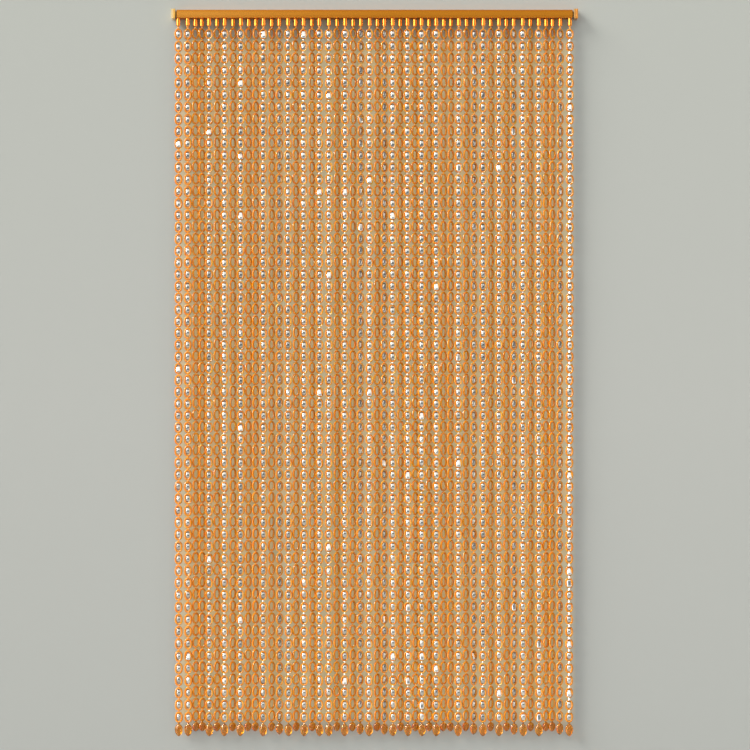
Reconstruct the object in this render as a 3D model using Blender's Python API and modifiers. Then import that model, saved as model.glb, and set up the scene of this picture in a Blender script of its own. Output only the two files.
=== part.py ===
"""Sequin string curtain on its rail, as solids at real size.

A slotted metal rail is fixed flat to the wall above a doorway. Fifty-one
strands hang from one carrier strip that lies inside the rail. Each strand
leaves the slot through a metal sleeve, runs down through a chain of flat oval
frames, and ends in a drop bead.

Metres, +Z up, front of the curtain towards -Y. The origin is the middle of
the rail's back face, where it meets the wall.
"""

import math
from itertools import accumulate

import bmesh
import bpy
from mathutils import Matrix, Vector

# Rail
RAIL_OVERALL = 1.000
RAIL_HEIGHT = 0.019
RAIL_DEPTH = 0.025
RAIL_WALL = 0.0015
RAIL_EDGE = 0.0008
SLOT_WIDTH = 0.012
GROOVE_DROP = 0.0062
GROOVE_WIDTH = 0.0010
GROOVE_DEPTH = 0.0006

# End caps: two lobes with a groove between them, a neck that is set in
# against the rail's end, and a plug inside the rail
CAP_LOBE = 0.0045
CAP_GROOVE = 0.0010
CAP_HEIGHT = 0.0245
CAP_PROUD = 0.0020
CAP_EDGE = 0.0012
CORE_STEP = 0.0012
NECK_LENGTH = 0.0035
NECK_STEP = 0.0040
PLUG_LENGTH = 0.014
PLUG_HEIGHT = 0.0115
PLUG_BEYOND = 0.0005

# Carrier strip and the cord of each strand
STRIP_THICKNESS = 0.003
CORD_THICKNESS = 0.0024

# Sleeve over the cord, under the rail
SLEEVE_LENGTH = 0.019
SLEEVE_RADIUS = 0.00525
SLEEVE_BORE = 0.0023
SLEEVE_SIDES = 10

# Oval frames that make up a strand
FRAME_WIDTH = 0.0193
FRAME_HEIGHT = 0.028
FRAME_THICKNESS = 0.0051
FRAME_PITCH = 0.0295
FRAME_COUNT = 58
FRAME_SHOULDER = 0.007
TIE_THICKNESS = 0.0034

# Drop bead at the end of a strand
DROP_WIDTH = 0.0184
DROP_THICKNESS = 0.0078
DROP_TIP = 0.0016

# Room between pieces that touch, how far a cutter passes the piece it cuts,
# and how nearly parallel an edge is that runs along an axis
FIT = 0.0003
CUT_BEYOND = 0.010
PARALLEL = 0.99

# Kinds of strand, by how their frames face:
#   row: how far behind (+) or before (-) the rail's middle it hangs
#   turn: degrees by which its frames are turned about the cord
#   lead: from the rail's underside to the first frame
#   tail: from the last frame to the drop bead
#   drop: length of the drop bead
KIND_COLUMNS = ("row", "turn", "lead", "tail", "drop")
KIND_TABLE = {
    "S": (-0.0040, 0.0, 0.0255, 0.0016, 0.0312),
    "M": (-0.0010, 30.0, 0.0245, 0.0016, 0.0288),
    "O": (0.0020, 52.0, 0.0229, 0.0015, 0.0232),
}
KINDS = {name: dict(zip(KIND_COLUMNS, row)) for name, row in KIND_TABLE.items()}

# The strands from left to right, ten to a row:
#   kinds: a letter for each strand
#   steps: millimetres along the rail, for the first strand from the rail's
#   middle and for each other one from the strand before it
STRAND_COLUMNS = ("kinds", "steps")
STRAND_TABLE = (
    ("SSOOSOSOSO", (-483.3, 22.9, 18.5, 16.1, 18.0, 19.2, 19.2, 20.5, 19.8, 18.5)),
    ("OSOMSOSOSS", (17.9, 19.1, 19.7, 19.1, 21.6, 18.5, 19.7, 20.3, 18.5, 23.4)),
    ("OSOMSOMSOS", (20.3, 19.7, 19.7, 19.1, 21.6, 19.1, 17.3, 20.3, 18.5, 17.9)),
    ("OSOSOOSOMS", (18.5, 16.1, 18.5, 17.9, 18.5, 17.9, 19.1, 19.1, 19.1, 22.2)),
    ("OSOMSOSOOM", (18.5, 19.7, 18.5, 17.9, 22.2, 19.1, 20.3, 18.5, 16.0, 19.1)),
    ("S", (23.3,)),
)
STRAND_ROWS = [dict(zip(STRAND_COLUMNS, row)) for row in STRAND_TABLE]
LAYOUT = "".join(row["kinds"] for row in STRAND_ROWS)
STEPS = [0.001 * step for row in STRAND_ROWS for step in row["steps"]]

# Shape of a drop bead: part of its length, part of its width
DROP_PROFILE = (
    (0.08, 0.44),
    (0.24, 0.82),
    (0.48, 1.00),
    (0.74, 0.80),
)

# Finish of each material: colour, metallic, roughness
FINISHES = {
    "gold metal": ((0.56, 0.23, 0.045), 1.0, 0.32),
    "bright gold": ((0.83, 0.56, 0.22), 1.0, 0.18),
    "amber resin": ((0.83, 0.32, 0.045), 0.0, 0.12),
}

# Places worked out from the sizes above
CAP_BLOCK = 2.0 * CAP_LOBE + CAP_GROOVE
PROFILE_LENGTH = RAIL_OVERALL - 2.0 * (CAP_BLOCK + NECK_LENGTH)
RAIL_MIDDLE = -0.5 * RAIL_DEPTH
RAIL_BOTTOM = -0.5 * RAIL_HEIGHT
STRIP_BOTTOM = RAIL_BOTTOM + RAIL_WALL + FIT
STRIP_TOP = STRIP_BOTTOM + STRIP_THICKNESS


def clear_scene():
    for item in list(bpy.data.objects):
        bpy.data.objects.remove(item, do_unlink=True)


def make_collection(name):
    collection = bpy.data.collections.new(name)
    bpy.context.scene.collection.children.link(collection)
    return collection


def make_material(name):
    colour, metallic, roughness = FINISHES[name]
    material = bpy.data.materials.new(name)
    material.use_nodes = True
    shader = material.node_tree.nodes["Principled BSDF"]
    shader.inputs["Base Color"].default_value = (*colour, 1.0)
    shader.inputs["Metallic"].default_value = metallic
    shader.inputs["Roughness"].default_value = roughness
    material.diffuse_color = (*colour, 1.0)
    return material


def add_object(name, mesh, collection, finish=None):
    item = bpy.data.objects.new(name, mesh)
    collection.objects.link(item)
    if finish and not mesh.materials:
        mesh.materials.append(make_material(finish))
    return item


def box_mesh(name, low, high, edge=0.0, along=None):
    """Box between two corners; edge chamfers its edges, or those along an axis."""
    low, high = Vector(low), Vector(high)
    work = bmesh.new()
    bmesh.ops.create_cube(work, size=1.0)
    bmesh.ops.scale(work, vec=high - low, verts=work.verts)
    bmesh.ops.translate(work, vec=0.5 * (low + high), verts=work.verts)
    if edge:
        picked = list(work.edges)
        if along:
            direction = Vector(along)
            picked = [
                line for line in work.edges
                if abs((line.verts[1].co - line.verts[0].co).normalized().dot(direction)) > PARALLEL
            ]
        bmesh.ops.bevel(work, geom=picked, offset=edge, segments=1, profile=0.5, affect="EDGES")
    bmesh.ops.recalc_face_normals(work, faces=work.faces)
    mesh = bpy.data.meshes.new(name)
    work.to_mesh(mesh)
    work.free()
    return mesh


def add_helper(name, mesh, cutters):
    helper = add_object(name, mesh, cutters)
    helper.hide_render = True
    helper.display_type = "WIRE"
    return helper


def combine(item, helper, operation):
    change = item.modifiers.new(helper.name, "BOOLEAN")
    change.operation = operation
    change.solver = "EXACT"
    change.object = helper


def build_rail(parts, cutters):
    """Box profile with a cavity for the strip, a slot below and a front groove."""
    half = 0.5 * PROFILE_LENGTH
    beyond = half + CUT_BEYOND
    mesh = box_mesh(
        "head_rail",
        (-half, -RAIL_DEPTH, RAIL_BOTTOM),
        (half, 0.0, -RAIL_BOTTOM),
        edge=RAIL_EDGE,
        along=(1.0, 0.0, 0.0),
    )
    rail = add_object("head_rail", mesh, parts, "gold metal")
    cavity = box_mesh(
        "rail_cavity",
        (-beyond, RAIL_WALL - RAIL_DEPTH, RAIL_BOTTOM + RAIL_WALL),
        (beyond, -RAIL_WALL, -RAIL_BOTTOM - RAIL_WALL),
    )
    slot = box_mesh(
        "rail_slot",
        (-beyond, RAIL_MIDDLE - 0.5 * SLOT_WIDTH, RAIL_BOTTOM - RAIL_WALL),
        (beyond, RAIL_MIDDLE + 0.5 * SLOT_WIDTH, RAIL_BOTTOM + 2.0 * RAIL_WALL),
    )
    groove = box_mesh(
        "rail_groove",
        (-beyond, -RAIL_DEPTH - GROOVE_DEPTH, -GROOVE_DROP - 0.5 * GROOVE_WIDTH),
        (beyond, -RAIL_DEPTH + GROOVE_DEPTH, -GROOVE_DROP + 0.5 * GROOVE_WIDTH),
    )
    for name, cutter_mesh in (("cavity", cavity), ("slot", slot), ("groove", groove)):
        combine(rail, add_helper("cut_" + name, cutter_mesh, cutters), "DIFFERENCE")
    return rail


def cap_boxes():
    """Name, x range, y range, z range and chamfer of the boxes of the right cap."""
    outer = 0.5 * RAIL_OVERALL
    inner = outer - CAP_BLOCK
    front, top = -RAIL_DEPTH - CAP_PROUD, 0.5 * CAP_HEIGHT
    gap = 0.5 * PROFILE_LENGTH + FIT
    inside = RAIL_WALL + FIT
    plug_top = -RAIL_BOTTOM - inside
    neck_top = -RAIL_BOTTOM - NECK_STEP
    return (
        ("lobe", (outer - CAP_LOBE, outer), (front, 0.0), (-top, top), CAP_EDGE),
        ("inner_lobe", (inner, inner + CAP_LOBE), (front, 0.0), (-top, top), CAP_EDGE),
        (
            "core",
            (inner + 0.5 * CAP_LOBE, outer - 0.5 * CAP_LOBE),
            (front + CORE_STEP, -CORE_STEP),
            (CORE_STEP - top, top - CORE_STEP),
            0.0,
        ),
        (
            "neck",
            (gap, inner + CAP_LOBE / 3.0),
            (NECK_STEP - RAIL_DEPTH, -NECK_STEP),
            (-neck_top, neck_top),
            0.0,
        ),
        (
            "plug",
            (0.5 * PROFILE_LENGTH - PLUG_LENGTH, gap + PLUG_BEYOND),
            (inside - RAIL_DEPTH, -inside),
            (plug_top - PLUG_HEIGHT, plug_top),
            0.0,
        ),
    )


def build_cap(side, name, parts, cutters):
    """Cap of two lobes, core, neck and plug, on the right (1) or the left (-1)."""
    cap = None
    for part_name, across, depth, height, edge in cap_boxes():
        near, far = sorted((side * across[0], side * across[1]))
        mesh = box_mesh(
            f"{name}_{part_name}",
            (near, depth[0], height[0]),
            (far, depth[1], height[1]),
            edge=edge,
        )
        if cap is None:
            cap = add_object(name, mesh, parts, "bright gold")
        else:
            combine(cap, add_helper(f"{name}_add_{part_name}", mesh, cutters), "UNION")
    return cap


def strand_places():
    """Middle of each strand along the rail, step by step from the left."""
    return list(accumulate(STEPS))


def strand_sections(kind):
    """Half width, half thickness and height of each section, from root to tip."""
    cord = 0.5 * CORD_THICKNESS
    tie = 0.5 * TIE_THICKNESS
    wide, thick = 0.5 * FRAME_WIDTH, 0.5 * FRAME_THICKNESS
    first_top = RAIL_BOTTOM - kind["lead"]
    last_bottom = first_top - (FRAME_COUNT - 1) * FRAME_PITCH - FRAME_HEIGHT
    drop_top = last_bottom - kind["tail"]
    sections = [
        (cord, cord, 0.5 * (STRIP_TOP + STRIP_BOTTOM)),
        (cord, cord, first_top + tie),
        (tie, tie, first_top),
        (wide, thick, first_top - FRAME_SHOULDER),
        (wide, thick, last_bottom + FRAME_SHOULDER),
        (tie, tie, last_bottom),
        (tie, tie, drop_top),
    ]
    for down, size in DROP_PROFILE:
        height = drop_top - down * kind["drop"]
        sections.append((0.5 * size * DROP_WIDTH, 0.5 * size * DROP_THICKNESS, height))
    tip = 0.5 * DROP_TIP
    sections.append((tip, tip, drop_top - kind["drop"]))
    return sections


def add_strand(work, place, kind):
    """Four-sided loft through the strand's sections, closed at both ends."""
    turned = Matrix.Rotation(math.radians(kind["turn"]), 3, "Z")
    middle = Vector((place, RAIL_MIDDLE + kind["row"], 0.0))
    rings = []
    for wide, thick, height in strand_sections(kind):
        corners = ((wide, -thick), (wide, thick), (-wide, thick), (-wide, -thick))
        level = Vector((0.0, 0.0, height))
        rings.append([work.verts.new(turned @ Vector((x, y, 0.0)) + middle + level) for x, y in corners])
    work.faces.new(rings[0])
    work.faces.new(list(reversed(rings[-1])))
    for upper, lower in zip(rings, rings[1:]):
        for side in range(4):
            after = (side + 1) % 4
            work.faces.new((upper[after], upper[side], lower[side], lower[after]))


def build_strings(parts, cutters):
    """All strands, fused at their roots into the strip that the rail holds."""
    half = 0.5 * PROFILE_LENGTH
    strip_mesh = box_mesh(
        "strings",
        (-half, -RAIL_DEPTH + RAIL_WALL + FIT, STRIP_BOTTOM),
        (half, -RAIL_WALL - FIT, STRIP_TOP),
    )
    strings = add_object("strings", strip_mesh, parts, "amber resin")
    work = bmesh.new()
    for place, letter in zip(strand_places(), LAYOUT):
        add_strand(work, place, KINDS[letter])
    bmesh.ops.recalc_face_normals(work, faces=work.faces)
    hanging = bpy.data.meshes.new("hanging_strands")
    work.to_mesh(hanging)
    work.free()
    combine(strings, add_helper("strings_add_strands", hanging, cutters), "UNION")
    return strings


def sleeve_outline():
    """Closed outline of the sleeve's wall, down its outside and up its bore."""
    outline = bpy.data.meshes.new("sleeve")
    points = (
        (SLEEVE_RADIUS, 0.0, 0.0),
        (SLEEVE_RADIUS, 0.0, -SLEEVE_LENGTH),
        (SLEEVE_BORE, 0.0, -SLEEVE_LENGTH),
        (SLEEVE_BORE, 0.0, 0.0),
    )
    lines = [(index, (index + 1) % len(points)) for index in range(len(points))]
    outline.from_pydata(points, lines, [])
    outline.materials.append(make_material("bright gold"))
    return outline


def build_sleeves(parts):
    """One tube under the rail around the cord of each strand."""
    outline = sleeve_outline()
    for number, (place, letter) in enumerate(zip(strand_places(), LAYOUT), start=1):
        sleeve = add_object(f"sleeve_{number:02d}", outline, parts)
        sleeve.location = (place, RAIL_MIDDLE + KINDS[letter]["row"], RAIL_BOTTOM - FIT)
        turning = sleeve.modifiers.new("turning", "SCREW")
        turning.axis = "Z"
        turning.steps = SLEEVE_SIDES
        turning.render_steps = SLEEVE_SIDES
        turning.use_merge_vertices = True
        turning.merge_threshold = 0.00001
        turning.use_smooth_shade = True


def main():
    clear_scene()
    parts = make_collection("sequin_string_curtain")
    cutters = make_collection("cutters")
    build_rail(parts, cutters)
    build_cap(-1, "end_cap_left", parts, cutters)
    build_cap(1, "end_cap_right", parts, cutters)
    build_strings(parts, cutters)
    build_sleeves(parts)


main()
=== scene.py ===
"""Looks of the sequin string curtain: amber frames, mirror sequins, beads and gold metal."""

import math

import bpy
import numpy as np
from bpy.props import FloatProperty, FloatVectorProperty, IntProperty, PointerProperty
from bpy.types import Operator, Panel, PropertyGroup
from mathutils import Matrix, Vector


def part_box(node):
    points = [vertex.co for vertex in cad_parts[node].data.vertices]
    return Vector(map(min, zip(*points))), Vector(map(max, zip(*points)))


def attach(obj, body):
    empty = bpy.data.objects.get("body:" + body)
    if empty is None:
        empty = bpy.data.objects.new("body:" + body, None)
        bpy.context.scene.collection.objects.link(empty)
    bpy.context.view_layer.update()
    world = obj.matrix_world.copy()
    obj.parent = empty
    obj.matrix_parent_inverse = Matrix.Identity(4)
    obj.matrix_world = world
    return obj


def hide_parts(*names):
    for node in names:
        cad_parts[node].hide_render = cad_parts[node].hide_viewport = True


bl_info = {
    "name": "Sequin String Curtain",
    "version": (1, 0, 0),
    "blender": (4, 5, 0),
    "location": "View3D > Sidebar > Curtain",
    "description": "Builds a string curtain of amber frames and mirror sequins under its rail",
    "category": "Object",
}

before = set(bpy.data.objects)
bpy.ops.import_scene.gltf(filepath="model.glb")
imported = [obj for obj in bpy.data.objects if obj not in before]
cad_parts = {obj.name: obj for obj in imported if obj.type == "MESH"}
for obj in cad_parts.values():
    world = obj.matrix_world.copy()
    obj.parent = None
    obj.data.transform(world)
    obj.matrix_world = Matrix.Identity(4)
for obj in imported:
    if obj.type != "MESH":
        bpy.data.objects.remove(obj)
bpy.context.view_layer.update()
RAIL_LOW, RAIL_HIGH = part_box("head_rail")
STRINGS_LOW, STRINGS_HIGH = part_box("strings")

# The strands from left to right:
#   E front strand without beads, B and D front strands with bright or dull
#   sequins, L the last strand with bell beads, M middle and O rear strands
LAYOUT = (
    "EEOODOBODO" "ODOMDOBODB" "OBOMBOMBOB" "OBOBOOBOMD" "OBOMBOBOOM" "L"
)

# How each kind of strand hangs:
#   lead: from the rail's underside to the first frame's place
#   height, ring, bar: of its frames, thickness at the sides and at the ends
#   turn: degrees by which the frames are turned about the cord
#   sway: most degrees that one frame is turned further
#   tail, drop: neck above the drop bead, and length of the bead
#   clear: how pale its resin is, from 0 for deep amber; on the frames it also scales the painted highlight
#   wide, high: of its sequins
#   shine: how bright its sequins are
LOOK_COLUMNS = (
    "lead", "height", "ring", "bar", "turn", "sway", "tail", "drop", "clear", "wide", "high", "shine"
)
LOOK_TABLE = {
    "E": (0.0255, 0.0286, 0.0052, 0.0050, 0.0, 4.0, 0.0016, 0.0312, 0.06, 0.0084, 0.0172, 0.60),
    "B": (0.0255, 0.0264, 0.0048, 0.0036, 0.0, 9.0, 0.0016, 0.0312, 0.70, 0.0090, 0.0182, 0.70),
    "D": (0.0255, 0.0266, 0.0049, 0.0038, 0.0, 10.0, 0.0016, 0.0312, 0.50, 0.0086, 0.0176, 0.35),
    "L": (0.0255, 0.0266, 0.0050, 0.0042, 0.0, 4.0, 0.0016, 0.0312, 0.10, 0.0090, 0.0176, 0.80),
    "M": (0.0245, 0.0278, 0.0047, 0.0038, 24.0, 9.0, 0.0016, 0.0288, 0.60, 0.0080, 0.0174, 0.35),
    "O": (0.0229, 0.0290, 0.0057, 0.0054, 32.0, 8.0, 0.0015, 0.0232, 0.10, 0.0, 0.0, 0.0),
}
LOOKS = {name: dict(zip(LOOK_COLUMNS, row)) for name, row in LOOK_TABLE.items()}

# Which strands carry sequins, silver beads or bells between frames, or resin necks
WITH_SEQUINS = "EBDLM"
WITH_BEADS = "BD"
WITH_BELLS = "L"
WITH_NECKS = "EMO"

# Height that a frame has to itself on its strand, whatever its own height
FRAME_SPACE = 0.028

# How far the frames sit below their even places: once round a wave down the
# strand, less a bulge at its middle
SLACK = (0.0052, 0.0030)

# How far the frames wander aside and after how many frames they turn back, and
# how far a strand's end swings aside with its step and start along the rail
DRIFT = (0.0004, 9.0)
LEAN = (0.0016, 0.45, 0.8)

# Degrees by which a frame nods and tilts at most
NOD, TILT = 2.0, 1.6

# Faces along a frame and round its section
FRAME_FACES = (12, 5)

# How pale the resin of a frame is everywhere, and the painted highlight that makes it
# paler on its outer side, in a streak down one side, and where that streak is on the
# outer side
FRAME_PALENESS_AND_HIGHLIGHT = (0.01, 0.04, 0.12, 2.0)

# Half outline of a drop bead: part of its length from the top, part of its width
DROP_PROFILE = (
    (0.00, 0.20), (0.10, 0.22), (0.135, 0.40), (0.19, 0.64), (0.27, 0.85), (0.37, 0.97),
    (0.49, 1.00), (0.62, 0.97), (0.74, 0.86), (0.84, 0.69), (0.915, 0.49), (0.965, 0.28),
    (0.99, 0.13),
)

DROP_SIDES = 18
DROP_FLATNESS = 0.6

# How far a sleeve's edges are rounded, its wall, and its sides
SLEEVE_ROUND = 0.0009
SLEEVE_WALL = 0.0028
SLEEVE_SIDES = 20

# Radii of a resin neck between frames, and of one between sleeve and frame
NECK_RADII = (0.0023, 0.0018, 0.0023)
HANGER_RADII = (0.0024, 0.0029, 0.0020, 0.0026, 0.0020)

# Sequins: width and height of a domed one before it is fitted to its strand,
# width, height and crown of a flat one, and the share of flat ones
DOMED = (0.010, 0.020)
FLAT = (0.0108, 0.0196, 0.0003)
FLAT_SHARE = 0.035

# Half outline of a bell bead: height and radius
BELL_PROFILE = (
    (0.0036, 0.0010), (0.0034, 0.0019), (0.0010, 0.0028), (-0.0026, 0.0040), (-0.0036, 0.0042),
    (-0.0038, 0.0034),
)

# Painted shade and highlight on the rail's metal by height: darker at both edges, lighter on the lip
RAIL_PAINTED_LIGHT_BY_HEIGHT = (
    (-0.0095, 0.80, 0.72, 0.60), (-0.0080, 1.0, 1.0, 0.9), (-0.0066, 0.80, 0.76, 0.70),
    (-0.0055, 0.90, 0.88, 0.86), (-0.0020, 0.95, 0.95, 0.98), (0.0040, 0.95, 0.95, 0.98),
    (0.0065, 0.90, 0.80, 0.45), (0.0095, 0.90, 0.70, 0.20),
)

# Painted highlight along the rail: its metal is lighter at its left end and deeper gold from the middle on
RAIL_PAINTED_HIGHLIGHT = (
    (-0.50, 1.0, 1.0, 1.0), (-0.42, 1.0, 1.0, 1.0), (-0.33, 0.975, 0.94, 0.83),
    (-0.16, 0.90, 0.815, 0.565), (0.06, 0.845, 0.745, 0.41), (0.50, 0.865, 0.765, 0.43),
)

# Painted light on the caps by place along the rail: painted highlights make one lobe
# of each cap paler than the other, painted shade darkens the groove between the lobes,
# and the neck in the gap at the rail's end is dark with painted shade
CAP_PAINTED_LIGHT = (
    (-0.5000, 1.0, 1.0, 1.0), (-0.4961, 1.0, 1.0, 1.0), (-0.4957, 0.55, 0.36, 0.15),
    (-0.4945, 0.55, 0.36, 0.15), (-0.4941, 1.0, 0.74, 0.30), (-0.4903, 1.0, 0.74, 0.30),
    (-0.4897, 0.07, 0.03, 0.01), (0.4897, 0.07, 0.03, 0.01), (0.4903, 0.85, 0.66, 0.42),
    (0.4941, 0.85, 0.66, 0.42), (0.4945, 0.50, 0.26, 0.06), (0.4957, 0.50, 0.26, 0.06),
    (0.4961, 0.88, 0.48, 0.20), (0.5000, 0.88, 0.48, 0.20),
)

SEED = 11


class CurtainSizes(PropertyGroup):
    """Sizes of the small pieces that the solids leave plain"""

    frame_width: FloatProperty(
        name="Frame width", description="Across one oval frame", default=0.0203, unit="LENGTH"
    )
    frame_pitch: FloatProperty(
        name="Frame pitch", description="From one frame to the next", default=0.0295, unit="LENGTH"
    )
    frame_count: IntProperty(
        name="Frames", description="Frames on each strand", default=58, min=1
    )
    sequin_crown: FloatProperty(
        name="Sequin crown", description="How far a sequin is bowed forward", default=0.0029, unit="LENGTH"
    )
    bead_width: FloatProperty(
        name="Bead width", description="Across one silver bead", default=0.0066, unit="LENGTH"
    )
    drop_width: FloatProperty(
        name="Drop width", description="Across one drop bead", default=0.0194, unit="LENGTH"
    )
    cord_width: FloatProperty(
        name="Cord width", description="Thickness of the cord", default=0.0018, unit="LENGTH"
    )


class CurtainColours(PropertyGroup):
    """Colours of the curtain and of the stage"""

    amber: FloatVectorProperty(
        name="Amber", description="Resin of the frames and drops", subtype="COLOR",
        size=3, default=(0.775, 0.290, 0.0004), min=0.0, max=1.0,
    )
    # Honey is also the colour of the painted highlights on the frames
    honey: FloatVectorProperty(
        name="Honey", description="Paler resin of the front strands", subtype="COLOR",
        size=3, default=(0.98, 0.83, 0.27), min=0.0, max=1.0,
    )
    silver: FloatVectorProperty(
        name="Silver", description="Mirror of the sequins", subtype="COLOR",
        size=3, default=(0.63, 0.62, 0.595), min=0.0, max=1.0,
    )
    rail_gold: FloatVectorProperty(
        name="Rail gold", description="Anodised metal of the rail", subtype="COLOR",
        size=3, default=(1.0, 0.405, 0.058), min=0.0, max=1.0,
    )
    bright_gold: FloatVectorProperty(
        name="Bright gold", description="Plating of the sleeves", subtype="COLOR",
        size=3, default=(1.0, 0.335, 0.018), min=0.0, max=1.0,
    )
    pale_gold: FloatVectorProperty(
        name="Pale gold", description="Plating of the end caps", subtype="COLOR",
        size=3, default=(1.0, 0.78, 0.42), min=0.0, max=1.0,
    )
    wall: FloatVectorProperty(
        name="Wall", description="Painted wall behind the curtain", subtype="COLOR",
        size=3, default=(0.241, 0.247, 0.229), min=0.0, max=1.0,
    )
    floor: FloatVectorProperty(
        name="Floor", description="Pale floor below the curtain", subtype="COLOR",
        size=3, default=(0.50, 0.49, 0.475), min=0.0, max=1.0,
    )


def sizes():
    return bpy.context.scene.curtain_sizes


def colours():
    return bpy.context.scene.curtain_colours


# Mesh helpers


def make_mesh(name, points, quads, triangles=(), attributes=None, material=None, smooth=True):
    """Object at the origin from arrays of points, four-sided faces and three-sided faces."""
    points = np.asarray(points, float).reshape(-1, 3)
    quads = np.asarray(quads, np.int32).reshape(-1, 4)
    triangles = np.asarray(triangles, np.int32).reshape(-1, 3)
    mesh = bpy.data.meshes.new(name)
    mesh.vertices.add(len(points))
    mesh.vertices.foreach_set("co", points.ravel())
    corners = np.concatenate([quads.ravel(), triangles.ravel()])
    totals = np.concatenate([np.full(len(quads), 4), np.full(len(triangles), 3)])
    starts = np.concatenate([[0], np.cumsum(totals)[:-1]])
    mesh.loops.add(len(corners))
    mesh.loops.foreach_set("vertex_index", corners)
    mesh.polygons.add(len(totals))
    mesh.polygons.foreach_set("loop_start", starts.astype(np.int32))
    mesh.update(calc_edges=True)
    mesh.validate()
    for attribute, values in (attributes or {}).items():
        layer = mesh.attributes.new(attribute, "FLOAT", "POINT")
        layer.data.foreach_set("value", np.asarray(values, np.float32))
    if smooth:
        mesh.shade_smooth()
    if material:
        mesh.materials.append(material)
    piece = bpy.data.objects.new(name, mesh)
    bpy.context.scene.collection.objects.link(piece)
    return piece


def wrapped_grid(rows, columns, close_rows=False):
    """Quads of a grid whose columns wrap round, and whose rows do too if asked."""
    row = np.arange(rows if close_rows else rows - 1)[:, None]
    column = np.arange(columns)[None, :]
    below = (row + 1) % rows
    beside = (column + 1) % columns
    here, under = row * columns, below * columns
    faces = [here + column, under + column, under + beside, here + beside]
    return np.stack(np.broadcast_arrays(*faces), axis=-1).reshape(-1, 4)


def turned_shape(heights, radii, sides, flat=1.0):
    """Profile turned about Z and closed by a point at each end.

    A point is (r cos a, flat r sin a, z) for each profile radius r and height
    z, top to bottom, and each angle a.
    """
    angle = np.linspace(0.0, 2.0 * math.pi, sides, endpoint=False)
    heights = np.asarray(heights, float)[:, None]
    radii = np.asarray(radii, float)[:, None]
    x = radii * np.cos(angle)
    y = flat * radii * np.sin(angle)
    z = heights + 0.0 * angle
    points = np.stack([x, y, z], axis=-1).reshape(-1, 3)
    rows = len(heights)
    top, bottom = len(points), len(points) + 1
    poles = [[0.0, 0.0, heights[0, 0]], [0.0, 0.0, heights[-1, 0]]]
    points = np.vstack([points, poles])
    quads = wrapped_grid(rows, sides)
    around = np.arange(sides)
    after = (around + 1) % sides
    last = (rows - 1) * sides
    lid = np.stack([np.full(sides, top), around, after], axis=-1)
    base = np.stack([np.full(sides, bottom), last + after, last + around], axis=-1)
    return points, quads, np.vstack([lid, base])


def turn_matrices(yaw, pitch, roll):
    """Rotations about Z by yaw, after X by pitch, after Y by roll, in degrees, as (n, 3, 3)."""
    yaw, pitch, roll = (np.radians(np.atleast_1d(a)) for a in (yaw, pitch, roll))
    one, none = np.ones_like(yaw), np.zeros_like(yaw)
    cz, sz, cx, sx = np.cos(yaw), np.sin(yaw), np.cos(pitch), np.sin(pitch)
    cy, sy = np.cos(roll), np.sin(roll)
    about_z = np.stack([cz, -sz, none, sz, cz, none, none, none, one], axis=-1).reshape(-1, 3, 3)
    about_x = np.stack([one, none, none, none, cx, -sx, none, sx, cx], axis=-1).reshape(-1, 3, 3)
    about_y = np.stack([cy, none, sy, none, one, none, -sy, none, cy], axis=-1).reshape(-1, 3, 3)
    return about_z @ about_x @ about_y


def repeated(shape, places, turns=None, scales=None):
    """A shape's points and faces at every place, turned and scaled there."""
    points, quads, triangles = shape
    places = np.asarray(places, float)
    copies = np.broadcast_to(points, (len(places),) + points.shape)
    if scales is not None:
        copies = copies * np.asarray(scales, float)[:, None, :]
    if turns is not None:
        copies = np.einsum("nij,nkj->nki", turns, copies)
    copies = copies + places[:, None, :]
    shift = (np.arange(len(places)) * len(points))[:, None, None]
    return copies.reshape(-1, 3), (quads + shift).reshape(-1, 4), (triangles + shift).reshape(-1, 3)


def joined(shapes):
    """Several (points, quads, triangles) as one."""
    shift = 0
    points, quads, triangles = [], [], []
    for shape_points, shape_quads, shape_triangles in shapes:
        points.append(shape_points)
        quads.append(np.asarray(shape_quads).reshape(-1, 4) + shift)
        triangles.append(np.asarray(shape_triangles).reshape(-1, 3) + shift)
        shift += len(shape_points)
    return np.vstack(points), np.vstack(quads), np.vstack(triangles)


def per_point(values, shape):
    """One value of each copy, given to each of the copy's points."""
    return np.repeat(values, len(shape[0]))


def finish_piece(piece, slot, *nodes):
    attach(piece, "root")
    if nodes:
        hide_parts(*nodes)


# Where the strands and their frames are


def strand_list():
    """Kind, x and y of each strand, from the sleeves of the frame."""
    strands = []
    for number, kind in enumerate(LAYOUT, start=1):
        low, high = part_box(f"sleeve_{number:02d}")
        strands.append((kind, 0.5 * (low.x + high.x), 0.5 * (low.y + high.y)))
    return strands


def swing(number):
    """How far aside the end of a strand hangs: a wave along the rail."""
    reach, step, start = LEAN
    return reach * math.sin(step * number + start)


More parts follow.
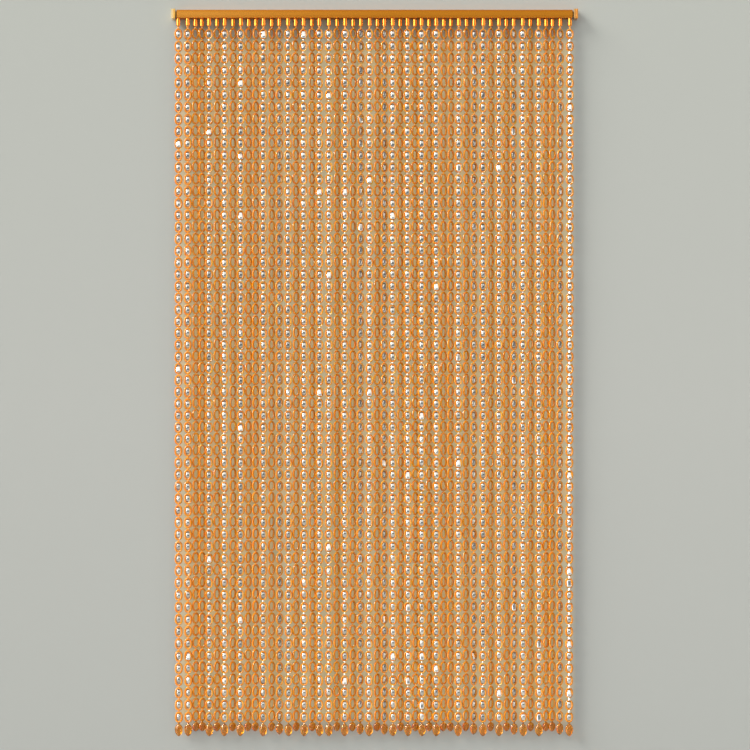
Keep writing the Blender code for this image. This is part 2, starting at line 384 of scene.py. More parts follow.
def frame_places(kinds):
    """Every frame of the strands of these kinds, top to bottom and left to right.

    Returns arrays: the middle of each frame, its three turns, the number of its
    strand and of the frame on it. Each strand has its own random numbers, so
    that a strand looks the same whichever kinds are asked for.
    """
    size = sizes()
    places, angles, strands, orders = [], [], [], []
    wander, turning = DRIFT
    order = np.arange(size.frame_count)
    for number, (kind, x, y) in enumerate(strand_list()):
        if kind not in kinds:
            continue
        look = LOOKS[kind]
        chance = np.random.default_rng([SEED, number])
        first = RAIL_LOW.z - look["lead"] - 0.5 * FRAME_SPACE
        part = order / (size.frame_count - 1.0)
        slack = SLACK[0] * np.sin(2.0 * math.pi * part) - SLACK[1] * np.sin(math.pi * part) ** 2
        middle = first - order * size.frame_pitch - slack
        drift = wander * np.sin(order / turning + chance.uniform(0.0, 6.0)) + part * swing(number)
        places.append(np.stack([x + drift, np.full(len(order), y), middle], axis=-1))
        yaw = look["turn"] + look["sway"] * chance.uniform(-1.0, 1.0, len(order))
        pitch = chance.uniform(-NOD, NOD, len(order))
        roll = chance.uniform(-TILT, TILT, len(order))
        angles.append(np.stack([yaw, pitch, roll], axis=-1))
        strands.append(np.full(len(order), number))
        orders.append(order)
    return tuple(np.concatenate(group) for group in (places, angles, strands, orders))


def oval_frame(width, height, ring, bar, power=2.35):
    """Ring along an oval, with a round section that is thinner at both ends.

    The middle line is (a |cos u|^(2/p), 0, b |sin u|^(2/p)) with the signs of
    cos u and sin u. The section is a circle about it, in the plane of the
    line's normal (|cos u|^(2-2/p) / a, |sin u|^(2-2/p) / b) and the Y axis.
    Its thickness goes from ring at the sides to bar at the ends with cos^2 u.
    """
    around, across = FRAME_FACES
    u = np.linspace(0.0, 2.0 * math.pi, around, endpoint=False)[:, None]
    v = np.linspace(0.0, 2.0 * math.pi, across, endpoint=False)[None, :]
    a, b = 0.5 * (width - ring), 0.5 * (height - bar)
    cos_u, sin_u = np.cos(u), np.sin(u)
    x = a * np.sign(cos_u) * np.abs(cos_u) ** (2.0 / power)
    z = b * np.sign(sin_u) * np.abs(sin_u) ** (2.0 / power)
    out_x = np.sign(cos_u) * np.abs(cos_u) ** (2.0 - 2.0 / power) / a
    out_z = np.sign(sin_u) * np.abs(sin_u) ** (2.0 - 2.0 / power) / b
    length = np.hypot(out_x, out_z)
    half = 0.5 * (bar + (ring - bar) * cos_u**2)
    points = np.stack(
        [
            x + half * np.cos(v) * out_x / length,
            half * np.sin(v) + 0.0 * u,
            z + half * np.cos(v) * out_z / length,
        ],
        axis=-1,
    )
    quads = wrapped_grid(around, across, close_rows=True)[:, ::-1]
    return points.reshape(-1, 3), quads, np.zeros((0, 3), int)


def domed_plate(width, height, crown, power, around=12, rings=3, side=0.06, back=0.0008):
    """Oval plate with a bowed front towards -Y, and a back that follows it.

    A point of the plate is at the part r of the outline
    (w |cos u|^(2/p), h |sin u|^(2/p)) and stands out by
    crown (1 - (z / h)^2 - side (x / w)^2), so that the plate is bowed more
    along its height than across.
    """
    u = np.linspace(0.0, 2.0 * math.pi, around, endpoint=False)[None, :]
    part = np.linspace(0.0, 1.0, rings + 1)[1:][:, None]
    x = 0.5 * width * part * np.sign(np.cos(u)) * np.abs(np.cos(u)) ** (2.0 / power)
    z = 0.5 * height * part * np.sign(np.sin(u)) * np.abs(np.sin(u)) ** (2.0 / power)
    y = -crown * (1.0 - (2.0 * z / height) ** 2 - side * (2.0 * x / width) ** 2)
    front = np.stack([x, y, z], axis=-1).reshape(-1, 3)
    rear = front[-around:] + (0.0, back, 0.0)
    tip, hub = len(front) + around, len(front) + around + 1
    points = np.vstack([front, rear, [[0.0, -crown, 0.0], [0.0, back, 0.0]]])
    quads = wrapped_grid(rings + 1, around)
    ring = np.arange(around)
    after = (ring + 1) % around
    fan = np.stack([np.full(around, tip), ring, after], axis=-1)
    last = rings * around
    base = np.stack([np.full(around, hub), last + after, last + ring], axis=-1)
    return points, quads, np.vstack([fan, base])


# Materials


def new_material(name):
    """Material with a Principled shader; returns it with its nodes, links and shader."""
    material = bpy.data.materials.new(name)
    material.use_nodes = True
    tree = material.node_tree
    return material, tree.nodes, tree.links, tree.nodes["Principled BSDF"]


def add_node(nodes, kind, **values):
    node = nodes.new(kind)
    for key, value in values.items():
        if key in node.inputs:
            node.inputs[key].default_value = value
        else:
            setattr(node, key, value)
    return node


def noise_between(nodes, links, scale, first, second, detail=3.0, stretch=(1.0, 1.0, 1.0)):
    """Colour that wanders between two others by noise on the object's coordinates."""
    coordinates = add_node(nodes, "ShaderNodeTexCoord")
    mapping = add_node(nodes, "ShaderNodeMapping", Scale=stretch)
    noise = add_node(nodes, "ShaderNodeTexNoise", Scale=scale, Detail=detail)
    mix = add_node(nodes, "ShaderNodeMix", data_type="RGBA")
    links.new(coordinates.outputs["Object"], mapping.inputs["Vector"])
    links.new(mapping.outputs["Vector"], noise.inputs["Vector"])
    links.new(noise.outputs["Fac"], mix.inputs["Factor"])
    mix.inputs["A"].default_value = (*first, 1.0)
    mix.inputs["B"].default_value = (*second, 1.0)
    return mix.outputs["Result"], noise


def set_stops(elements, stops):
    """Stops of a colour ramp, from rows of place, red, green and blue."""
    while len(elements) < len(stops):
        elements.new(0.5)
    for element, (at, *colour) in zip(elements, stops):
        element.position = at
        element.color = (*colour, 1.0)


def ramp_of(nodes, links, value, stops, low, high):
    """Colour by a value from low to high, from rows of the value, red, green and blue."""
    fit = add_node(nodes, "ShaderNodeMapRange")
    fit.inputs["From Min"].default_value = low
    fit.inputs["From Max"].default_value = high
    ramp = add_node(nodes, "ShaderNodeValToRGB")
    set_stops(ramp.color_ramp.elements, [((at - low) / (high - low), *tone) for at, *tone in stops])
    links.new(value, fit.inputs["Value"])
    links.new(fit.outputs["Result"], ramp.inputs["Fac"])
    return ramp.outputs["Color"]


def tone_along(nodes, links, axis, stops):
    """Colour by the object's own coordinate on one axis, from rows of metres, red, green and blue."""
    coordinates = add_node(nodes, "ShaderNodeTexCoord")
    split = add_node(nodes, "ShaderNodeSeparateXYZ")
    links.new(coordinates.outputs["Object"], split.inputs["Vector"])
    return ramp_of(nodes, links, split.outputs[axis], stops, stops[0][0], stops[-1][0])


def blended(nodes, links, blend_type, first, second):
    """Two colours as one: MULTIPLY for their product, LIGHTEN for the lighter of both."""
    mix = add_node(nodes, "ShaderNodeMix", data_type="RGBA", blend_type=blend_type)
    mix.inputs["Factor"].default_value = 1.0
    links.new(first, mix.inputs["A"])
    links.new(second, mix.inputs["B"])
    return mix.outputs["Result"]


def add_bump(nodes, links, shader, noise, strength, distance):
    bump = add_node(nodes, "ShaderNodeBump", Strength=strength, Distance=distance)
    links.new(noise.outputs["Fac"], bump.inputs["Height"])
    links.new(bump.outputs["Normal"], shader.inputs["Normal"])


def amber_material(name, transmission):
    """Clear amber resin; a point attribute makes a strand lighter in colour, and on the frames it also
    paints highlights in honey.
    """
    colour = colours()
    material, nodes, links, shader = new_material(name)
    tone = add_node(nodes, "ShaderNodeAttribute", attribute_name="clear")
    mix = add_node(nodes, "ShaderNodeMix", data_type="RGBA")
    mix.inputs["A"].default_value = (*colour.amber, 1.0)
    mix.inputs["B"].default_value = (*colour.honey, 1.0)
    links.new(tone.outputs["Fac"], mix.inputs["Factor"])
    links.new(mix.outputs["Result"], shader.inputs["Base Color"])
    shader.inputs["Transmission Weight"].default_value = transmission
    shader.inputs["IOR"].default_value = 1.5
    shader.inputs["Roughness"].default_value = 0.06
    shader.inputs["Specular IOR Level"].default_value = 0.5
    shader.inputs["Subsurface Weight"].default_value = 1.0
    shader.inputs["Subsurface Radius"].default_value = (1.0, 0.7, 0.1)
    shader.inputs["Subsurface Scale"].default_value = 0.002
    return material


def silver_material(name, roughness):
    """Silver mirror; the attribute "shine" darkens a dull one towards champagne."""
    colour = colours()
    material, nodes, links, shader = new_material(name)
    tone = add_node(nodes, "ShaderNodeAttribute", attribute_name="shine")
    mix = add_node(nodes, "ShaderNodeMix", data_type="RGBA")
    mix.inputs["A"].default_value = (0.30, 0.30, 0.29, 1.0)
    mix.inputs["B"].default_value = (*colour.silver, 1.0)
    links.new(tone.outputs["Fac"], mix.inputs["Factor"])
    links.new(mix.outputs["Result"], shader.inputs["Base Color"])
    shader.inputs["Metallic"].default_value = 1.0
    shader.inputs["Roughness"].default_value = roughness
    return material


def gold_material(name, colour, darker, roughness, stretch, lacquer=0.0, tones=()):
    """Gold metal with fine lines drawn along it, under clear lacquer if asked.

    tones has pairs of an axis and rows for tone_along that tint the metal; the rail and caps give it
    painted light and shade.
    """
    material, nodes, links, shader = new_material(name)
    shade = tuple(darker * part for part in colour)
    result, noise = noise_between(nodes, links, 60.0, shade, tuple(colour), stretch=stretch)
    for axis, rows in tones:
        result = blended(nodes, links, "MULTIPLY", result, tone_along(nodes, links, axis, rows))
    links.new(result, shader.inputs["Base Color"])
    shader.inputs["Metallic"].default_value = 1.0
    shader.inputs["Roughness"].default_value = roughness
    shader.inputs["Coat Weight"].default_value = lacquer
    shader.inputs["Coat Roughness"].default_value = 0.10
    add_bump(nodes, links, shader, noise, strength=0.15, distance=0.0002)
    return material


# Operators


class CURTAIN_OT_rail(Operator):
    """Gives the rail its satin gold and the end caps their bright gold, both with painted highlights and
    shade
    """

    bl_idname = "curtain.rail"
    bl_label = "Rail and End Caps"

    def execute(self, context):
        satin = gold_material(
            "satin_gold", colours().rail_gold, darker=0.9, roughness=0.27, stretch=(0.02, 1.0, 1.0),
            tones=(("Z", RAIL_PAINTED_LIGHT_BY_HEIGHT), ("X", RAIL_PAINTED_HIGHLIGHT)),
        )
        bright = gold_material(
            "bright_gold_caps", colours().pale_gold, darker=0.93, roughness=0.30,
            stretch=(1.0, 1.0, 0.05), lacquer=0.3, tones=(("X", CAP_PAINTED_LIGHT),),
        )
        for node, material in (("head_rail", satin), ("end_cap_left", bright), ("end_cap_right", bright)):
            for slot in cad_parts[node].material_slots:
                slot.material = material
        return {"FINISHED"}


class CURTAIN_OT_sleeves(Operator):
    """Makes the metal sleeves under the rail, one on each strand"""

    bl_idname = "curtain.sleeves"
    bl_label = "Sleeves"

    def execute(self, context):
        names = [f"sleeve_{number:02d}" for number in range(1, len(LAYOUT) + 1)]
        low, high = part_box(names[0])
        length, radius = high.z - low.z, 0.5 * (high.x - low.x)
        bore = radius - SLEEVE_WALL
        edge = SLEEVE_ROUND
        profile = (
            (radius - edge, 0.0), (radius - 0.3 * edge, 0.3 * edge), (radius, edge), (radius, 1.6 * edge),
            (radius, length - 1.6 * edge), (radius, length - edge),
            (radius - 0.3 * edge, length - 0.3 * edge), (radius - edge, length),
            (bore, length), (bore, 0.0),
        )
        angle = np.linspace(0.0, 2.0 * math.pi, SLEEVE_SIDES, endpoint=False)[None, :]
        reach = np.array([row[0] for row in profile])[:, None]
        down = np.array([row[1] for row in profile])[:, None]
        points = np.stack([reach * np.cos(angle), reach * np.sin(angle), -down + 0.0 * angle], axis=-1)
        quads = wrapped_grid(len(profile), SLEEVE_SIDES, close_rows=True)
        shape = (points.reshape(-1, 3), quads, np.zeros((0, 3), int))
        places = [(x, y, high.z) for kind, x, y in strand_list()]
        metal = gold_material(
            "sleeve_gold", colours().bright_gold, darker=0.9, roughness=0.20,
            stretch=(1.0, 1.0, 0.1), lacquer=0.8,
        )
        sleeves = make_mesh("sleeves", *repeated(shape, places), material=metal)
        finish_piece(sleeves, "sleeve_metal", *names)
        return {"FINISHED"}


class CURTAIN_OT_cords(Operator):
    """Makes the carrier strip in the rail and the cords that leave it through the sleeves"""

    bl_idname = "curtain.cords"
    bl_label = "Strip and Cords"

    def execute(self, context):
        size = sizes()
        top = STRINGS_HIGH.z
        radius = 0.5 * size.cord_width
        shapes = []
        for kind, x, y in strand_list():
            end = RAIL_LOW.z - LOOKS[kind]["lead"] - 0.001
            points, quads, triangles = turned_shape((top - 0.001, end), (radius, radius), sides=8)
            shapes.append((points + (x, y, 0.0), quads, triangles))
        material, nodes, links, shader = new_material("cord_thread")
        result, noise = noise_between(nodes, links, 900.0, (0.55, 0.30, 0.10), (0.85, 0.62, 0.34))
        links.new(result, shader.inputs["Base Color"])
        shader.inputs["Roughness"].default_value = 0.6
        add_bump(nodes, links, shader, noise, strength=0.5, distance=0.0003)
        cords = make_mesh("cords", *joined(shapes), material=material)
        finish_piece(cords, "amber_resin", "strings")
        half = RAIL_HIGH.x
        inset, thickness = 0.0018, 0.003
        corners = [
            (x, y, z)
            for x in (-half, half)
            for y in (RAIL_LOW.y + inset, RAIL_HIGH.y - inset)
            for z in (top - thickness, top)
        ]
        faces = [(0, 1, 3, 2), (4, 6, 7, 5), (0, 4, 5, 1), (2, 3, 7, 6), (0, 2, 6, 4), (1, 5, 7, 3)]
        strip = make_mesh("carrier_strip", corners, faces, material=material, smooth=False)
        finish_piece(strip, "amber_resin", "strings")
        return {"FINISHED"}


class CURTAIN_OT_frames(Operator):
    """Makes the amber oval frames of all strands"""

    bl_idname = "curtain.frames"
    bl_label = "Amber Frames"

    def execute(self, context):
        size = sizes()
        resin = amber_material("amber_resin", transmission=0.45)
        around, across = FRAME_FACES
        everywhere, highlight_on_rim, highlight_in_streak, highlight_in_streak_on_rim = FRAME_PALENESS_AND_HIGHLIGHT
        along = np.linspace(0.0, 2.0 * math.pi, around, endpoint=False)
        section = np.linspace(0.0, 2.0 * math.pi, across, endpoint=False)
        outer = np.clip(np.cos(section), 0.0, 1.0) ** 2
        for name, kinds in (
            ("frames_front_bright", "BL"), ("frames_front_dull", "ED"),
            ("frames_middle", "M"), ("frames_rear", "O"),
        ):
            shapes, tones = [], []
            for kind in kinds:
                look = LOOKS[kind]
                places, angles = frame_places(kind)[:2]
                shape = oval_frame(size.frame_width, look["height"], look["ring"], look["bar"])
                chance = np.random.default_rng([SEED, len(places), ord(kind)])
                clear = (look["clear"] + chance.uniform(-0.15, 0.15, len(places)))[:, None, None]
                # Painted highlight: a streak down one side of each frame, mostly the right, and its outer
                # rim are made paler in honey
                side = chance.normal(-0.2, 0.7, len(places))[:, None]
                highlight_streak = np.clip(np.cos(along - side), 0.0, 1.0)[:, :, None] ** 3
                paler_and_highlight = everywhere + highlight_on_rim * outer + (highlight_in_streak + highlight_in_streak_on_rim * outer) * highlight_streak
                shapes.append(repeated(shape, places, turn_matrices(*angles.T)))
                tones.append(((0.12 + clear) * paler_and_highlight).ravel())
            tones = np.clip(np.concatenate(tones), 0.0, 1.0)
            piece = make_mesh(name, *joined(shapes), attributes={"clear": tones}, material=resin)
            finish_piece(piece, "amber_resin", "strings")
        return {"FINISHED"}


class CURTAIN_OT_necks(Operator):
    """Makes the resin necks above each strand and between frames without beads"""

    bl_idname = "curtain.necks"
    bl_label = "Necks"

    def execute(self, context):
        size = sizes()
        places, _, strands, orders = frame_places(WITH_NECKS)
        inner = orders < size.frame_count - 1
        places = places[inner] - (0.0, 0.0, 0.5 * size.frame_pitch)
        strands = strands[inner]
        into_frame = 0.0012
        half = 0.5 * (size.frame_pitch - FRAME_SPACE) + into_frame
        shape = turned_shape((half, 0.0, -half), NECK_RADII, sides=6)
        shapes = [repeated(shape, places)]
        clear = [per_point(np.array([LOOKS[LAYOUT[number]]["clear"] for number in strands]), shape)]
        for number, (kind, x, y) in enumerate(strand_list(), start=1):
            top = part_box(f"sleeve_{number:02d}")[0].z + 0.001
            end = RAIL_LOW.z - LOOKS[kind]["lead"] - 0.0016
            heights = (top, top - 0.0015, 0.5 * (top + end), end + 0.0012, end)
            hanger = turned_shape(heights, HANGER_RADII, sides=8)
            shapes.append((hanger[0] + (x, y, 0.0), hanger[1], hanger[2]))
            clear.append(np.full(len(hanger[0]), 0.1 + 0.3 * LOOKS[kind]["clear"]))
        piece = make_mesh(
            "necks", *joined(shapes), attributes={"clear": np.concatenate(clear)},
            material=bpy.data.materials["amber_resin"],
        )
        finish_piece(piece, "amber_resin", "strings")
        return {"FINISHED"}


class CURTAIN_OT_sequins(Operator):
    """Makes the domed mirror sequins in the frames, and the few flat ones among them"""

    bl_idname = "curtain.sequins"
    bl_label = "Mirror Sequins"

    def execute(self, context):
        size = sizes()
        places, angles, strands = frame_places(WITH_SEQUINS)[:3]
        chance = np.random.default_rng([SEED, 501])
        count = len(places)
        flat = chance.uniform(0.0, 1.0, count) < FLAT_SHARE
        yaw, pitch = chance.uniform(-7.0, 7.0, count), chance.normal(0.0, 5.0, count)
        roll = chance.uniform(-2.0, 2.0, count)
        lean = np.stack([yaw, pitch, roll], axis=-1)
        shine = np.array([LOOKS[LAYOUT[number]]["shine"] for number in strands])
        shine = shine + chance.uniform(-0.30, 0.25, count)
        shine[flat] = 1.0
        mirror = silver_material("mirror_sequin", roughness=0.09)
        dome = domed_plate(*DOMED, size.sequin_crown, power=4.5)
        plate = domed_plate(*FLAT, power=9.0, around=16, rings=2)
        seat = np.array([0.0, 0.0006, 0.0])
        front = np.array([0.0, -0.0012, 0.0])
        tilt = np.array([0.0, -15.0, 0.0])
        looks = [LOOKS[LAYOUT[number]] for number in strands]
        fit = np.array([(look["wide"] / DOMED[0], 1.0, look["high"] / DOMED[1]) for look in looks])
        for name, shape, chosen, offset, extra, scales in (
            ("domed_sequins", dome, ~flat, seat, 0.0 * tilt, fit[~flat]),
            ("flat_sequins", plate, flat, front, tilt, None),
        ):
            turns = turn_matrices(*(angles[chosen] + lean[chosen] + extra).T)
            middles = places[chosen] + turns @ offset
            built = repeated(shape, middles, turns, scales)
            values = per_point(np.clip(shine[chosen], 0.0, 1.0), shape)
            piece = make_mesh(name, *built, attributes={"shine": values}, material=mirror)
            finish_piece(piece, "mirror_sequin", "strings")
        return {"FINISHED"}


class CURTAIN_OT_beads(Operator):
    """Makes the silver beads between the front strands' frames"""

    bl_idname = "curtain.beads"
    bl_label = "Silver Beads"

    def execute(self, context):
        size = sizes()
        silver = silver_material("silver_bead", roughness=0.28)
        radius = 0.5 * size.bead_width
        down = np.radians((18.0, 54.0, 90.0, 126.0, 162.0))
        round_bead = turned_shape(0.92 * radius * np.cos(down), radius * np.sin(down), sides=9)
        bell = turned_shape(*zip(*BELL_PROFILE), sides=10)
        for name, kinds, shape in (
            ("silver_beads", WITH_BEADS, round_bead), ("silver_bells", WITH_BELLS, bell),
        ):
            places, _, _, orders = frame_places(kinds)
            inner = orders < size.frame_count - 1
            places = places[inner] - (0.0, 0.0, 0.5 * size.frame_pitch)
            built = repeated(shape, places)
            values = np.ones(len(built[0]))
            piece = make_mesh(name, *built, attributes={"shine": values}, material=silver)
            finish_piece(piece, "silver_bead", "strings")
        return {"FINISHED"}


class CURTAIN_OT_drops(Operator):
    """Makes the amber drop bead at the end of each strand"""

    bl_idname = "curtain.drops"
    bl_label = "Drop Beads"

    def execute(self, context):
        size = sizes()
        shapes, tones = [], []
        for number, (kind, x, y) in enumerate(strand_list()):
            look = LOOKS[kind]
            first = RAIL_LOW.z - look["lead"]
            top = first - (size.frame_count - 1) * size.frame_pitch - FRAME_SPACE - look["tail"]
            into_frame = 0.0006
            above = look["tail"] + into_frame
            length = above + look["drop"]
            heights = [above - part * length for part, _ in DROP_PROFILE] + [-look["drop"]]
            radii = [0.5 * size.drop_width * part for _, part in DROP_PROFILE] + [0.0004]
            shape = turned_shape(heights, radii, sides=DROP_SIDES, flat=DROP_FLATNESS)
            turn = turn_matrices(look["turn"], 0.0, 0.0)
            shapes.append(repeated(shape, [(x + swing(number), y, top)], turn))
            tones.append(np.full(len(shape[0]), 0.08 * look["clear"]))
        piece = make_mesh(
            "drop_beads", *joined(shapes), attributes={"clear": np.concatenate(tones)},
            material=amber_material("amber_drop", transmission=0.90),
        )
        finish_piece(piece, "amber_resin", "strings")
        return {"FINISHED"}


# Stage

IMAGE_SIZE = 750
METRES_PER_PIXEL = 0.002457
CAMERA_DISTANCE = 4.2
CAMERA_X = 0.001
CAMERA_Z = -0.888
FLOOR_Z = -2.02
WALL_BEHIND = 0.0015
KEY_FROM = (-2.6, -1.0, 2.1)
KEY_STRENGTH = 6.6
KEY_ANGLE = 30.0
KEY_COLOUR = (1.0, 0.98, 0.92)

# Soft light on the wall that no ray has to be traced for: fill from the room
# beside the curtain, pale and amber light in spots behind the resin that lets it
# through, and less of it in the rail's shade
FILL_GLOW = (0.095, 0.101, 0.101)
PALE_GLOW = (0.178, 0.200, 0.122)
AMBER_GLOW = (0.352, 0.178, 0.000)
RAIL_SHADE = (0.060, 0.045, 0.020)
GLOW_BY_SIDE = (
    (-0.494, 0.0, 0.0, 0.0), (-0.474, 1.0, 1.0, 1.0), (0.478, 1.0, 1.0, 1.0), (0.498, 0.0, 0.0, 0.0),
)
GLOW_BY_HEIGHT = (
    (-1.765, 0.0, 0.0, 0.0), (-1.725, 1.0, 1.0, 1.0), (-0.070, 1.0, 1.0, 1.0), (-0.030, 0.0, 0.0, 0.0),
)
SHADE_BY_HEIGHT = (
    (-0.070, 0.0, 0.0, 0.0), (-0.030, 1.0, 1.0, 1.0), (0.008, 1.0, 1.0, 1.0), (0.010, 0.0, 0.0, 0.0),
)

# Painted shade on the wall by height: it gets a little darker towards the floor
WALL_PAINTED_SHADE = ((-1.95, 0.75, 0.76, 0.79), (-0.95, 0.89, 0.89, 0.92), (0.0, 0.94, 0.95, 0.96))

# Light of the room by height and by side, of the broad panel above the camera,
# and of the window on the camera's side at the left, as parts of the strength
ROOM_STRENGTH = 2.4
ROOM_BY_HEIGHT = (
    (-1.0, 0.10, 0.10, 0.10), (-0.55, 0.12, 0.125, 0.13), (-0.15, 0.125, 0.145, 0.16),
    (0.15, 0.125, 0.145, 0.16), (0.40, 0.16, 0.16, 0.16), (0.90, 0.16, 0.16, 0.16),
)
ROOM_BY_SIDE = (
    (-0.85, 0.10, 0.10, 0.10), (-0.45, 0.06, 0.06, 0.06), (-0.30, 0.0, 0.0, 0.0),
    (0.30, 0.0, 0.0, 0.0), (0.45, 0.15, 0.145, 0.14), (0.74, 0.15, 0.145, 0.14),
    (0.80, 0.72, 0.68, 0.60),
)
PANEL_BY_HEIGHT = (
    (0.25, 0.0, 0.0, 0.0), (0.33, 0.72, 0.71, 0.67), (0.82, 0.72, 0.71, 0.67), (0.92, 0.0, 0.0, 0.0),
)
PANEL_BY_SIDE = (
    (-0.52, 0.0, 0.0, 0.0), (-0.42, 1.0, 1.0, 1.0), (0.42, 1.0, 1.0, 1.0), (0.52, 0.0, 0.0, 0.0),
)
WINDOW_GAIN = (3.5, 3.4, 3.15)
CAMERA_SIDE = ((-0.05, 1.0, 1.0, 1.0), (0.05, 0.0, 0.0, 0.0))
WINDOW_BY_HEIGHT = (
    (-0.10, 0.0, 0.0, 0.0), (-0.06, 1.0, 1.0, 1.0), (0.29, 1.0, 1.0, 1.0), (0.33, 0.0, 0.0, 0.0),
)
WINDOW_BY_SIDE = (
    (-0.90, 0.0, 0.0, 0.0), (-0.86, 1.0, 1.0, 1.0), (-0.56, 1.0, 1.0, 1.0), (-0.50, 0.30, 0.30, 0.30),
    (-0.20, 0.0, 0.0, 0.0),
)


class CURTAIN_OT_stage(Operator):
    """Makes the wall, the floor, the lights, the sky of the room and the camera"""

    bl_idname = "curtain.stage"
    bl_label = "Stage"

    def execute(self, context):
        self.wall()
        self.floor()
        self.world(context)
        self.key(context)
        self.camera(context)
        return {"FINISHED"}

    def wall(self):
        """Upright wall seen from the front only, so that the back of the curtain can be looked at."""
        reach, top = 3.4, 1.3
        corners = [(-reach, WALL_BEHIND, FLOOR_Z), (reach, WALL_BEHIND, FLOOR_Z)]
        corners += [(reach, WALL_BEHIND, top), (-reach, WALL_BEHIND, top)]
        material, nodes, links, shader = new_material("painted_wall")
        shade = tuple(0.985 * part for part in colours().wall)
        result, _ = noise_between(nodes, links, 1.2, shade, tuple(colours().wall))
        # Painted shade: the wall's colour is a little darker towards the floor
        tint = tone_along(nodes, links, "Z", WALL_PAINTED_SHADE)
        links.new(blended(nodes, links, "MULTIPLY", result, tint), shader.inputs["Base Color"])
        shader.inputs["Roughness"].default_value = 0.9
        beside = tone_along(nodes, links, "X", GLOW_BY_SIDE)
        hanging = tone_along(nodes, links, "Z", GLOW_BY_HEIGHT)
        behind = blended(nodes, links, "MULTIPLY", beside, hanging)
        mottled, _ = noise_between(
            nodes, links, 55.0, PALE_GLOW, AMBER_GLOW, detail=0.0, stretch=(1.0, 1.0, 0.5)
        )
        glow = add_node(nodes, "ShaderNodeMix", data_type="RGBA")
        glow.inputs["A"].default_value = (*FILL_GLOW, 1.0)
        links.new(mottled, glow.inputs["B"])
        links.new(behind, glow.inputs["Factor"])
        topmost = tone_along(nodes, links, "Z", SHADE_BY_HEIGHT)
        under = blended(nodes, links, "MULTIPLY", beside, topmost)
        shaded = add_node(nodes, "ShaderNodeMix", data_type="RGBA")
        shaded.inputs["B"].default_value = (*RAIL_SHADE, 1.0)
        links.new(under, shaded.inputs["Factor"])
        links.new(glow.outputs["Result"], shaded.inputs["A"])
        links.new(shaded.outputs["Result"], shader.inputs["Emission Color"])
        shader.inputs["Emission Strength"].default_value = 1.0
        output = nodes["Material Output"]
        side = add_node(nodes, "ShaderNodeNewGeometry")
        through = add_node(nodes, "ShaderNodeBsdfTransparent")
        either = add_node(nodes, "ShaderNodeMixShader")
        links.new(side.outputs["Backfacing"], either.inputs["Fac"])
        links.new(shader.outputs["BSDF"], either.inputs[1])
        links.new(through.outputs["BSDF"], either.inputs[2])
        links.new(either.outputs["Shader"], output.inputs["Surface"])
        wall = make_mesh("wall", corners, [(0, 1, 2, 3)], material=material, smooth=False)

    def floor(self):
        near, far, reach = -3.0, 1.0, 3.4
        corners = [(-reach, near, FLOOR_Z), (reach, near, FLOOR_Z)]
        corners += [(reach, far, FLOOR_Z), (-reach, far, FLOOR_Z)]
        material, nodes, links, shader = new_material("pale_floor")
        shade = tuple(0.95 * part for part in colours().floor)
        result, _ = noise_between(nodes, links, 3.0, shade, tuple(colours().floor))
        links.new(result, shader.inputs["Base Color"])
        shader.inputs["Roughness"].default_value = 0.6
        floor = make_mesh("floor", corners, [(0, 1, 2, 3)], material=material, smooth=False)

    def key(self, context):
        """Broad even light from far away at the upper left."""
        light = bpy.data.lights.new("key", "SUN")
        light.energy = KEY_STRENGTH
        light.angle = math.radians(KEY_ANGLE)
        light.color = KEY_COLOUR
        lamp = bpy.data.objects.new("key", light)
        lamp.location = Vector(KEY_FROM) * 2.0
        lamp.rotation_euler = (-Vector(KEY_FROM)).to_track_quat("-Z", "Y").to_euler()
        context.scene.collection.objects.link(lamp)

    def world(self, context):
        """Soft room: a pale panel above, grey-blue at eye level, a window at the left."""
        world = bpy.data.worlds.new("soft_room")
        world.use_nodes = True
        nodes, links = world.node_tree.nodes, world.node_tree.links
        coordinates = add_node(nodes, "ShaderNodeTexCoord")
        split = add_node(nodes, "ShaderNodeSeparateXYZ")
        links.new(coordinates.outputs["Generated"], split.inputs["Vector"])
        gain = add_node(nodes, "ShaderNodeRGB")
        gain.outputs["Color"].default_value = (*WINDOW_GAIN, 1.0)

        def both(first, second):
            return blended(nodes, links, "MULTIPLY", first, second)

        def lighter(first, second):
            return blended(nodes, links, "LIGHTEN", first, second)

        def by(axis, stops):
            return ramp_of(nodes, links, split.outputs[axis], stops, -1.0, 1.0)

        panel = both(by("Z", PANEL_BY_HEIGHT), by("X", PANEL_BY_SIDE))
        window = both(by("Z", WINDOW_BY_HEIGHT), by("X", WINDOW_BY_SIDE))
        bright = both(both(window, by("Y", CAMERA_SIDE)), gain.outputs["Color"])
        room = lighter(by("Z", ROOM_BY_HEIGHT), by("X", ROOM_BY_SIDE))
        result = lighter(lighter(room, panel), bright)
        background = nodes["Background"]
        links.new(result, background.inputs["Color"])
        background.inputs["Strength"].default_value = ROOM_STRENGTH
        context.scene.world = world

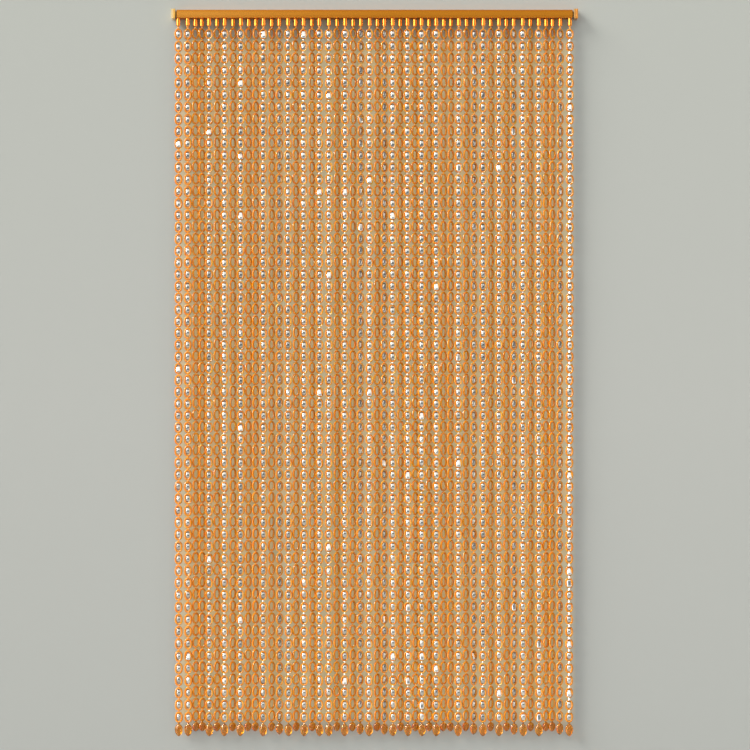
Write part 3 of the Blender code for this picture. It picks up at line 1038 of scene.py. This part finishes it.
    def camera(self, context):
        """Camera square to the wall, at the height of the curtain's middle."""
        data = bpy.data.cameras.new("camera")
        half_view = 0.5 * IMAGE_SIZE * METRES_PER_PIXEL
        data.lens = 0.5 * data.sensor_width * CAMERA_DISTANCE / half_view
        camera = bpy.data.objects.new("camera", data)
        camera.location = (CAMERA_X, RAIL_LOW.y - CAMERA_DISTANCE, CAMERA_Z)
        camera.rotation_euler = (math.radians(90.0), 0.0, 0.0)
        context.scene.collection.objects.link(camera)
        context.scene.camera = camera
        context.scene.view_settings.view_transform = "Standard"


class CURTAIN_PT_sidebar(Panel):
    """Lists the pieces of the curtain and their sizes"""

    bl_idname = "CURTAIN_PT_sidebar"
    bl_label = "Sequin String Curtain"
    bl_space_type = "VIEW_3D"
    bl_region_type = "UI"
    bl_category = "Curtain"

    def draw(self, context):
        for group in (context.scene.curtain_sizes, context.scene.curtain_colours):
            box = self.layout.box()
            for name in group.bl_rna.properties.keys():
                if name not in ("rna_type", "name"):
                    box.prop(group, name)
        for operator in OPERATORS:
            self.layout.operator(operator.bl_idname)


OPERATORS = (
    CURTAIN_OT_rail,
    CURTAIN_OT_sleeves,
    CURTAIN_OT_cords,
    CURTAIN_OT_frames,
    CURTAIN_OT_necks,
    CURTAIN_OT_sequins,
    CURTAIN_OT_beads,
    CURTAIN_OT_drops,
    CURTAIN_OT_stage,
)
CLASSES = (CurtainSizes, CurtainColours) + OPERATORS + (CURTAIN_PT_sidebar,)


def register():
    for item in CLASSES:
        bpy.utils.register_class(item)
    bpy.types.Scene.curtain_sizes = PointerProperty(type=CurtainSizes)
    bpy.types.Scene.curtain_colours = PointerProperty(type=CurtainColours)


def unregister():
    del bpy.types.Scene.curtain_colours
    del bpy.types.Scene.curtain_sizes
    for item in reversed(CLASSES):
        bpy.utils.unregister_class(item)


def main():
    register()
    bpy.ops.curtain.rail()
    bpy.ops.curtain.sleeves()
    bpy.ops.curtain.cords()
    bpy.ops.curtain.frames()
    bpy.ops.curtain.necks()
    bpy.ops.curtain.sequins()
    bpy.ops.curtain.beads()
    bpy.ops.curtain.drops()
    bpy.ops.curtain.stage()


if __name__ == "__main__":
    main()
